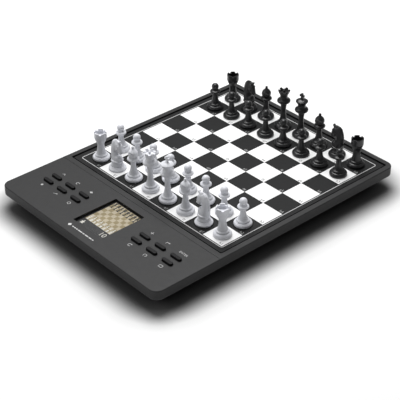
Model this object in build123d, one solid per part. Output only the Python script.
from build123d import *
import os
from math import cos, radians, sin, sqrt

os.makedirs("parts", exist_ok=True)

# Electronic chess computer: a flat plastic slab with a printed pressure board, a control panel in front
# of it (white's side), and a set of 32 loose pieces standing in their starting places.
# Millimetres. +X runs from file a to file h, +Y from white to black, +Z up. The origin is the centre of
# the slab on the surface it stands on.

# ---- driving dimensions ---------------------------------------------------------------------------
SQUARE = 25.0                     # side of one square of the board
CASE_X, CASE_Y = 228.5, 302.0     # plan size of the slab
CASE_R = 9.0                      # plan corner radius
RIM_Z = 23.5                      # top of the rim and of the control panel
WALL_H = 9.6                      # height of the upright side wall
BOARD_Y = CASE_Y / 2 - 114.25     # centre of the playing field

# ---- case -------------------------------------------------------------------------------------------
SEAM_Z = RIM_Z - WALL_H           # parting plane of the two case halves
SKIN = 2.3                        # top wall of the panel
SIDE_WALL = 2.2
PANEL_CEILING = RIM_Z - SKIN
RECESS = 217.0                    # square pocket that holds the playing field
RECESS_FLOOR = RIM_Z - 3.5
LEDGE_CEILING = RECESS_FLOOR - 1.7
LEDGE_OPENING = 168.0
FLOOR_Z = 1.5                     # underside of the case, above the feet
FLOOR_T = 2.0
BELLY_INSET = 15.0                # how far the sloping underside runs in from the wall
BELLY_STEP = 1.25                 # ledge under the side wall
BELLY_SKIN = 2.8

# ---- playing field stack ------------------------------------------------------------------------------
PLATE_T, FILM_T, SHEET_T = 1.2, 0.4, 1.1
STACK_SIDE, SHEET_SIDE = 212.0, 213.5
SHEET_TOP = RECESS_FLOOR + PLATE_T + FILM_T + SHEET_T

# ---- control panel --------------------------------------------------------------------------------------
KEY_COLUMNS = (-86.9, -65.75, -44.7, 44.7, 65.75, 86.9)
KEY_ROWS = (BOARD_Y - 141.7, BOARD_Y - 151.6)
KEY_L, KEY_W = 13.0, 4.0
KEY_GAP = 0.3
KEY_PROUD = 2.2
KEY_TRAVEL = 0.8
KEY_FLANGE_Z = PANEL_CEILING - 1.2
WINDOW_X, WINDOW_Y = 41.5, 49.6
WINDOW_CENTRE_Y = BOARD_Y - 147.4
LENS_T, LENS_GAP = 0.8, 0.1
LENS_LOW = RIM_Z - 2.45           # underside of the window pane
DISPLAY_TOP = LENS_LOW - 0.25
PCB_Z, PCB_T = 14.6, 1.6
PCB_X, PCB_Y, PCB_CENTRE_Y = 196.0, 50.0, -109.0

# ---- fasteners, feet, power -------------------------------------------------------------------------------
SCREW_SPOTS = [(x, y) for x in (-93.0, 93.0) for y in (BOARD_Y + 93.0, 0.0, -128.0)]
FOOT_SPOTS = [(x, y) for x in (-84.0, 84.0) for y in (-118.0, 118.0)]
FOOT_R, FOOT_SINK = 7.0, 1.0
BAY_Y = 20.0                      # centre of the battery bay
DOOR_X, DOOR_Y, DOOR_GAP = 58.0, 62.0, 0.3
CELL_R, CELL_L, CELL_PITCH = 7.1, 50.0, 15.0
CELL_Z = FLOOR_Z + FLOOR_T + 0.3 + CELL_R
SOCKET_X, SOCKET_Z = -60.0, 16.0
SPEAKER_XY = (-58.0, -106.0)


def save(name, shape):
    """Write one sub-part under the name of its node."""
    export_step(shape, f"parts/{name}.step")


def slab(size_x, size_y, z_low, z_high, x=0.0, y=0.0, radius=0.0):
    """An upright block with an optional plan corner radius."""
    outline = RectangleRounded(size_x, size_y, radius) if radius else Rectangle(size_x, size_y)
    return extrude(Pos(x, y, z_low) * outline, z_high - z_low)


def rod(radius, z_low, z_high, x=0.0, y=0.0):
    """An upright cylinder between two heights."""
    return extrude(Pos(x, y, z_low) * Circle(radius), z_high - z_low)


def pill(length, width, z_low, z_high, x, y):
    """An upright block with half-round ends."""
    return extrude(Pos(x, y, z_low) * SlotOverall(length, width), z_high - z_low)


# ---- case halves ----------------------------------------------------------------------------------------
def make_top_case():
    shell = slab(CASE_X, CASE_Y, SEAM_Z, RIM_Z, radius=CASE_R)
    shell = fillet(shell.edges().group_by(Axis.Z)[-1], 1.0)
    shell = fillet(shell.edges().group_by(Axis.Z)[0], 0.7)

    inner_x, inner_y = CASE_X - 2 * SIDE_WALL, CASE_Y - 2 * SIDE_WALL
    shell -= slab(inner_x, inner_y, SEAM_Z, LEDGE_CEILING, radius=CASE_R - SIDE_WALL)
    panel_back = BOARD_Y - RECESS / 2 - SIDE_WALL
    panel_front = -inner_y / 2
    shell -= slab(
        inner_x, panel_back - panel_front, SEAM_Z, PANEL_CEILING, y=(panel_back + panel_front) / 2, radius=6.0
    )
    shell -= slab(RECESS, RECESS, RECESS_FLOOR, RIM_Z, y=BOARD_Y, radius=1.5)
    shell -= slab(LEDGE_OPENING, LEDGE_OPENING, SEAM_Z, RIM_Z, y=BOARD_Y, radius=4.0)

    # the shallow line between the board's frame and the panel
    crease_y = BOARD_Y - 114.6
    shell -= slab(CASE_X, 0.6, RIM_Z - 0.25, RIM_Z, y=crease_y)

    for x in KEY_COLUMNS:
        for y in KEY_ROWS:
            shell -= pill(KEY_L + 2 * KEY_GAP, KEY_W + 2 * KEY_GAP, PANEL_CEILING, RIM_Z, x, y)
    shell -= slab(WINDOW_X, WINDOW_Y, PANEL_CEILING, RIM_Z, y=WINDOW_CENTRE_Y, radius=0.8)

    socket_hole = Box(9.3, 10.0, 3.6)
    shell -= Pos(SOCKET_X, CASE_Y / 2, SOCKET_Z) * socket_hole

    for x, y in SCREW_SPOTS:
        ceiling = PANEL_CEILING if y < panel_back else LEDGE_CEILING
        shell += rod(3.5, SEAM_Z, ceiling, x, y) - rod(1.5, SEAM_Z, ceiling, x, y)
    for x in (-30.0, 30.0):
        for y in (PCB_CENTRE_Y - 20.0, PCB_CENTRE_Y + 20.0):
            shell += rod(2.0, PCB_Z + PCB_T, PANEL_CEILING, x, y)
    return shell


def belly_outline(z, skin):
    """Plan outline of the sloping underside at one height, drawn in by a wall thickness."""
    share = (SEAM_Z - z) / (SEAM_Z - FLOOR_Z)
    inset = BELLY_STEP + (BELLY_INSET - BELLY_STEP) * share + skin
    return Pos(0, 0, z) * RectangleRounded(CASE_X - 2 * inset, CASE_Y - 2 * inset, CASE_R)


def make_bottom_case():
    inside_floor = FLOOR_Z + FLOOR_T
    tray = loft([belly_outline(FLOOR_Z, 0), belly_outline(SEAM_Z, 0)], ruled=True)
    tray -= loft([belly_outline(inside_floor, BELLY_SKIN), belly_outline(SEAM_Z, BELLY_SKIN)], ruled=True)

    # battery bay: a walled pit with the door's opening in its floor
    bay_x, bay_y, bay_wall = DOOR_X + 4.0, DOOR_Y + 10.0, 1.5
    bay = slab(bay_x + 2 * bay_wall, bay_y + 2 * bay_wall, inside_floor, 17.8, y=BAY_Y)
    tray += bay - slab(bay_x, bay_y, inside_floor, 17.8, y=BAY_Y)
    tray -= slab(DOOR_X + 2 * DOOR_GAP, DOOR_Y + 2 * DOOR_GAP, FLOOR_Z, inside_floor, y=BAY_Y)

    for x, y in SCREW_SPOTS:
        tray += rod(4.5, FLOOR_Z, SEAM_Z, x, y)
        tray -= rod(3.1, FLOOR_Z, 7.5, x, y)
        tray -= rod(1.7, 7.5, SEAM_Z, x, y)
    for x, y in FOOT_SPOTS:
        tray -= rod(FOOT_R, FLOOR_Z, FLOOR_Z + FOOT_SINK, x, y)

    # sound holes under the loudspeaker: one in the middle and two rings
    sound_x, sound_y = SPEAKER_XY
    for ring, holes in ((0.0, 1), (6.0, 6), (12.0, 12)):
        for i in range(holes):
            turn = radians(360 * i / holes)
            tray -= rod(1.1, FLOOR_Z, inside_floor, sound_x + ring * cos(turn), sound_y + ring * sin(turn))
    return tray


# ---- what the case holds -----------------------------------------------------------------------------------
def make_main_circuit_board():
    solids = [slab(PCB_X, PCB_Y, PCB_Z, PCB_Z + PCB_T, y=PCB_CENTRE_Y)]
    for x, y in SCREW_SPOTS:
        solids[0] -= rod(5.5, PCB_Z, PCB_Z + PCB_T, x, y)
    solids.append(slab(14, 14, PCB_Z - 1.4, PCB_Z, x=10, y=PCB_CENTRE_Y))
    solids.append(slab(10, 6, PCB_Z - 1.2, PCB_Z, x=34, y=PCB_CENTRE_Y + 8))
    solids.append(slab(24, 5, PCB_Z - 3.0, PCB_Z, x=70, y=PCB_CENTRE_Y + 18))
    solids.append(rod(3.0, PCB_Z - 6.5, PCB_Z, 52, PCB_CENTRE_Y - 12))
    return Compound(solids)


def make_keypad_mat():
    """Two silicone mats, each a thin sheet with a dome under every key."""
    mats = []
    base_z = PCB_Z + PCB_T
    dome_top = KEY_FLANGE_Z - KEY_TRAVEL - 0.05
    for side in (-1, 1):
        mat = slab(56, 20, base_z, base_z + 1.0, x=side * 65.75, y=sum(KEY_ROWS) / 2)
        for x in KEY_COLUMNS:
            if x * side > 0:
                for y in KEY_ROWS:
                    mat += pill(9.0, 3.4, base_z + 1.0, dome_top, x, y)
        mats.append(mat)
    return Compound(mats)


def make_key(x, y):
    cap = pill(KEY_L, KEY_W, KEY_FLANGE_Z, RIM_Z + KEY_PROUD, x, y)
    cap = fillet(cap.edges().group_by(Axis.Z)[-1], 0.7)
    return cap + pill(KEY_L + 2.0, KEY_W + 2.0, KEY_FLANGE_Z, KEY_FLANGE_Z + 1.0, x, y)


def make_speaker():
    x, y = SPEAKER_XY
    z = FLOOR_Z + FLOOR_T
    basket = rod(18.0, z, z + 2.0, x, y) - rod(14.0, z, z + 1.0, x, y)
    return basket + rod(9.0, z + 2.0, z + 6.5, x, y)


def cell_centres():
    return [BAY_Y + CELL_PITCH * (i - 1.5) for i in range(4)]


def make_cells():
    cells = []
    for i, y in enumerate(cell_centres()):
        turn = 1 if i % 2 == 0 else -1
        body = Pos(0, y, CELL_Z) * Rot(0, 90, 0) * Cylinder(CELL_R, CELL_L - 1.2)
        nub = Pos(turn * (CELL_L / 2), y, CELL_Z) * Rot(0, 90, 0) * Cylinder(2.7, 1.2)
        cells.append(body + nub)
    return Compound(cells)


def make_battery_contacts():
    """Flat plates against the nubs and conical springs against the flat ends."""
    inner = DOOR_X / 2 + 2.0
    nub_end = CELL_L / 2 + 0.6
    flat_end = CELL_L / 2 - 0.6
    solids = []
    for i, y in enumerate(cell_centres()):
        turn = 1 if i % 2 == 0 else -1
        plate_t = inner - nub_end
        solids.append(Pos(turn * (nub_end + plate_t / 2), y, CELL_Z) * Box(plate_t, 9.0, 9.0))
        spring_l = inner - flat_end
        spring = Cone(4.2, 2.4, spring_l)
        lean = -90 if turn < 0 else 90
        solids.append(Pos(-turn * (flat_end + spring_l / 2), y, CELL_Z) * Rot(0, lean, 0) * spring)
    return Compound(solids)


def make_battery_door():
    z_low, z_high = FLOOR_Z, FLOOR_Z + FLOOR_T
    door = slab(DOOR_X, DOOR_Y, z_low, z_high, y=BAY_Y)
    hinge_y = BAY_Y - DOOR_Y / 2
    for x in (-16.0, 16.0):
        door += slab(8.0, 2.0, z_high, z_high + 0.1, x=x, y=hinge_y + 1.0)
        door += slab(8.0, 5.0, z_high + 0.1, z_high + 1.3, x=x, y=hinge_y - 0.5)
    grip_y = BAY_Y + DOOR_Y / 2 - 6.0
    for step in range(4):
        door -= slab(18.0, 0.9, z_low, z_low + 0.5, y=grip_y - 2.0 * step)
    return door


def make_case_screws():
    screws = []
    for x, y in SCREW_SPOTS:
        top = SEAM_Z + 4.0
        screw = rod(1.5, 7.5, top, x, y) + rod(2.8, 5.4, 7.5, x, y)
        screws.append(screw - slab(3.4, 0.8, 5.4, 6.3, x=x, y=y) - slab(0.8, 3.4, 5.4, 6.3, x=x, y=y))
    return Compound(screws)


def make_rubber_feet():
    feet = []
    for x, y in FOOT_SPOTS:
        foot = rod(FOOT_R, 0, FLOOR_Z + FOOT_SINK, x, y)
        feet.append(fillet(foot.edges().group_by(Axis.Z)[0], 0.4))
    return Compound(feet)


def make_power_socket():
    """A small reversible-plug socket: a folded shell with a contact tongue, on its own carrier board."""
    front, depth = CASE_Y / 2 - 0.4, 7.6
    middle_y = front - depth / 2
    shell = Box(8.9, depth, 3.2) - Pos(0, 0.4, 0) * Box(8.3, depth, 2.6)
    socket = Pos(SOCKET_X, middle_y, SOCKET_Z) * shell
    tongue = Pos(SOCKET_X, middle_y - 0.6, SOCKET_Z) * Box(6.4, depth - 1.6, 0.7)
    carrier = slab(14.0, 11.0, SOCKET_Z - 2.6, SOCKET_Z - 1.6, x=SOCKET_X, y=middle_y - 6.5)
    return Compound([socket + tongue, carrier])


# ---- chess pieces --------------------------------------------------------------------------------------------
ROOK_TOP, ROOK_NOTCHES = 30.0, 5
CROWN_TOP, CROWN_NOTCHES = 41.8, 6
KING_TOP = 48.0
KNIGHT_TOP = 33.4                 # ear tip


class Outline:
    """Half of a turned shape, drawn as radius against height from the bottom centre upwards."""

    def __init__(self):
        self.edges = []
        self.at = (0.0, 0.0)

    def line(self, *points):
        for point in points:
            self.edges.append(Line(self.at, point))
            self.at = point
        return self

    def bulge(self, through, end):
        self.edges.append(ThreePointArc(self.at, through, end))
        self.at = end
        return self

    def sweep(self, *points):
        self.edges.append(Spline(self.at, *points))
        self.at = points[-1]
        return self

    def turn(self):
        if self.at[0] > 0:
            self.line((0.0, self.at[1]))
        self.line((0.0, 0.0))
        return revolve(Plane.XZ * make_face(self.edges), Axis.Z)


def foot():
    """The wide rounded foot and ring that every piece stands on."""
    outline = Outline().line((8.0, 0.0)).bulge((8.65, 1.5), (8.2, 3.0)).sweep((7.2, 3.8), (6.0, 4.2))
    return outline.bulge((6.35, 5.0), (5.9, 5.8)).line((4.9, 6.4))


def ball(outline, radius, centre_z, neck_r):
    """Close an outline with a ball that sits on a narrow neck."""
    outline.line((neck_r, centre_z - sqrt(radius**2 - neck_r**2)))
    outline.bulge((radius, centre_z), (0.0, centre_z + radius))
    return outline


def make_pawn():
    outline = foot().sweep((3.55, 9.2), (2.8, 12.5), (2.45, 16.2)).line((5.0, 18.3))
    outline.bulge((5.4, 19.3), (4.9, 20.3)).line((2.9, 21.4))
    return ball(outline, 3.7, 24.75, 2.4).turn()


def make_rook():
    outline = foot().sweep((4.1, 9.6), (3.5, 13.6), (3.7, 18.0)).sweep((4.9, 20.4), (5.9, 22.9), (6.1, 26.0))
    outline.line((6.1, ROOK_TOP), (4.9, ROOK_TOP), (4.9, ROOK_TOP - 4.6), (0.0, ROOK_TOP - 4.9))
    tower = outline.turn()
    for i in range(ROOK_NOTCHES):
        notch = Pos(5.5, 0, ROOK_TOP) * Box(3.0, 2.4, 2.8)
        tower -= Rot(0, 0, 360 * i / ROOK_NOTCHES - 41.0) * notch
    return tower


def make_bishop():
    outline = foot().sweep((3.3, 10.4), (2.65, 14.6), (2.55, 19.2)).line((5.4, 21.4))
    outline.bulge((5.85, 22.4), (5.4, 23.3)).line((3.6, 24.5))
    outline.sweep((4.65, 26.8), (4.75, 29.0), (3.1, 31.8), (1.0, 33.8))
    mitre = ball(outline, 1.4, 34.8, 0.9).turn()
    return mitre - Pos(0, -4.2, 30.2) * Rot(-38, 0, 0) * Box(12.0, 6.0, 0.9)


def stem_and_collar():
    """The tall waisted stem and wide collar that the king and queen share."""
    outline = foot().sweep((3.4, 10.0), (2.75, 15.0), (2.65, 21.5), (3.4, 26.4)).line((6.3, 28.6))
    return outline.bulge((6.8, 30.1), (6.2, 31.5)).line((4.3, 32.9))


def make_queen():
    outline = stem_and_collar().sweep((3.8, 34.2), (4.3, 37.0), (6.1, CROWN_TOP))
    outline.line((5.0, CROWN_TOP), (3.9, 39.2), (1.2, 39.6))
    crown = ball(outline, 1.3, 40.9, 0.7).turn()
    for i in range(CROWN_NOTCHES):
        notch = Pos(0, 0, CROWN_TOP + 0.3) * Rot(0, 0, 360 * i / CROWN_NOTCHES + 18) * Pos(5.2, 0, 0)
        crown -= notch * Rot(0, 90, 0) * Cylinder(1.9, 4.0)
    return crown


def make_king():
    outline = stem_and_collar().sweep((3.9, 34.4), (4.5, 36.6), (6.1, 39.0)).line((6.1, 39.9))
    outline.bulge((3.4, 41.4), (1.3, 41.9)).line((0.9, 42.8))
    crown = outline.turn()
    cross = slab(2.0, 1.8, 41.8, KING_TOP) + slab(5.4, 1.8, KING_TOP - 3.6, KING_TOP - 1.5)
    return crown + cross


def make_knight(facing):
    """A horse's head with an arched neck that looks along X, towards +X or -X."""
    plinth_top = 10.9
    base = foot().line((4.6, 7.2)).sweep((5.3, 8.6), (6.1, 9.8)).line((6.1, plinth_top)).turn()

    neck_back, chest = (-5.8, plinth_top), (5.7, plinth_top)
    back = Spline(neck_back, (-6.8, 16.0), (-6.5, 22.5), (-4.2, 29.0), (-0.4, 32.4), (3.4, 32.5), (4.6, 31.9))
    ear = Line((4.6, 31.9), (6.2, KNIGHT_TOP))
    face = Spline((6.2, KNIGHT_TOP), (6.9, 30.0), (7.9, 25.0), (8.7, 20.5))
    muzzle = ThreePointArc((8.7, 20.5), (8.1, 17.9), (5.6, 17.2))
    throat = Spline((5.6, 17.2), (2.6, 18.3), (0.4, 18.4), (2.4, 14.6), chest)
    side = make_face([back, ear, face, muzzle, throat, Line(chest, neck_back)])
    half_widths = ((4.8, plinth_top), (3.9, 15.0), (3.3, 20.0), (3.1, 26.0), (2.3, 30.5), (1.3, KNIGHT_TOP))
    corners = list(half_widths) + [(-width, z) for width, z in reversed(half_widths)]
    front = make_face(Polyline(*corners, close=True))
    head = extrude(Plane.XZ * side, 6.0, both=True) & extrude(Plane.YZ * front, 10.0, both=True)
    knight = base + head
    return knight if facing > 0 else Rot(0, 0, 180) * knight


def file_x(index):
    return SQUARE * (index - 3.5)


def rank_y(rank):
    return BOARD_Y + SQUARE * (rank - 4.5)


def make_set():
    """All 32 pieces in their starting places, white nearest the panel."""
    files = "abcdefgh"
    back_rank = ("rook", "knight", "bishop", "queen", "king", "bishop", "knight", "rook")
    shapes = {
        "rook": make_rook(),
        "bishop": make_bishop(),
        "queen": make_queen(),
        "king": make_king(),
        "pawn": make_pawn(),
    }
    for colour, home, pawns in (("white", 1, 2), ("black", 8, 7)):
        for index, kind in enumerate(back_rank):
            facing = 1 if index < 4 else -1
            shape = make_knight(facing) if kind == "knight" else shapes[kind]
            name = f"{colour}_{kind}"
            if kind not in ("queen", "king"):
                name += f"_{files[index]}"
            save(name, Pos(file_x(index), rank_y(home), SHEET_TOP) * shape)
            save(f"{colour}_pawn_{files[index]}", Pos(file_x(index), rank_y(pawns), SHEET_TOP) * shapes["pawn"])


# ---- write the sub-parts --------------------------------------------------------------------------------------
save("top_case", make_top_case())
save("bottom_case", make_bottom_case())

plate_top = RECESS_FLOOR + PLATE_T
film_top = plate_top + FILM_T
save("board_support_plate", slab(STACK_SIDE, STACK_SIDE, RECESS_FLOOR, plate_top, y=BOARD_Y))
save("sensor_membrane", slab(STACK_SIDE, STACK_SIDE, plate_top, film_top, y=BOARD_Y))
save("playing_sheet", slab(SHEET_SIDE, SHEET_SIDE, film_top, SHEET_TOP, y=BOARD_Y, radius=1.2))

save("main_circuit_board", make_main_circuit_board())
save("keypad_mat", make_keypad_mat())
pane_x, pane_y = WINDOW_X - 2 * LENS_GAP, WINDOW_Y - 2 * LENS_GAP
pane = slab(pane_x, pane_y, LENS_LOW, LENS_LOW + LENS_T, y=WINDOW_CENTRE_Y, radius=0.7)
save("display_window", pane)
save("display_module", slab(43.0, 52.0, PCB_Z + PCB_T, DISPLAY_TOP, y=WINDOW_CENTRE_Y))
for row, y in zip(("upper", "lower"), KEY_ROWS):
    for number, x in enumerate(KEY_COLUMNS, start=1):
        save(f"{row}_key_{number}", make_key(x, y))

save("speaker", make_speaker())
save("aa_batteries", make_cells())
save("battery_contacts", make_battery_contacts())
save("battery_door", make_battery_door())
save("case_screws", make_case_screws())
save("rubber_feet", make_rubber_feet())
save("power_socket", make_power_socket())
make_set()
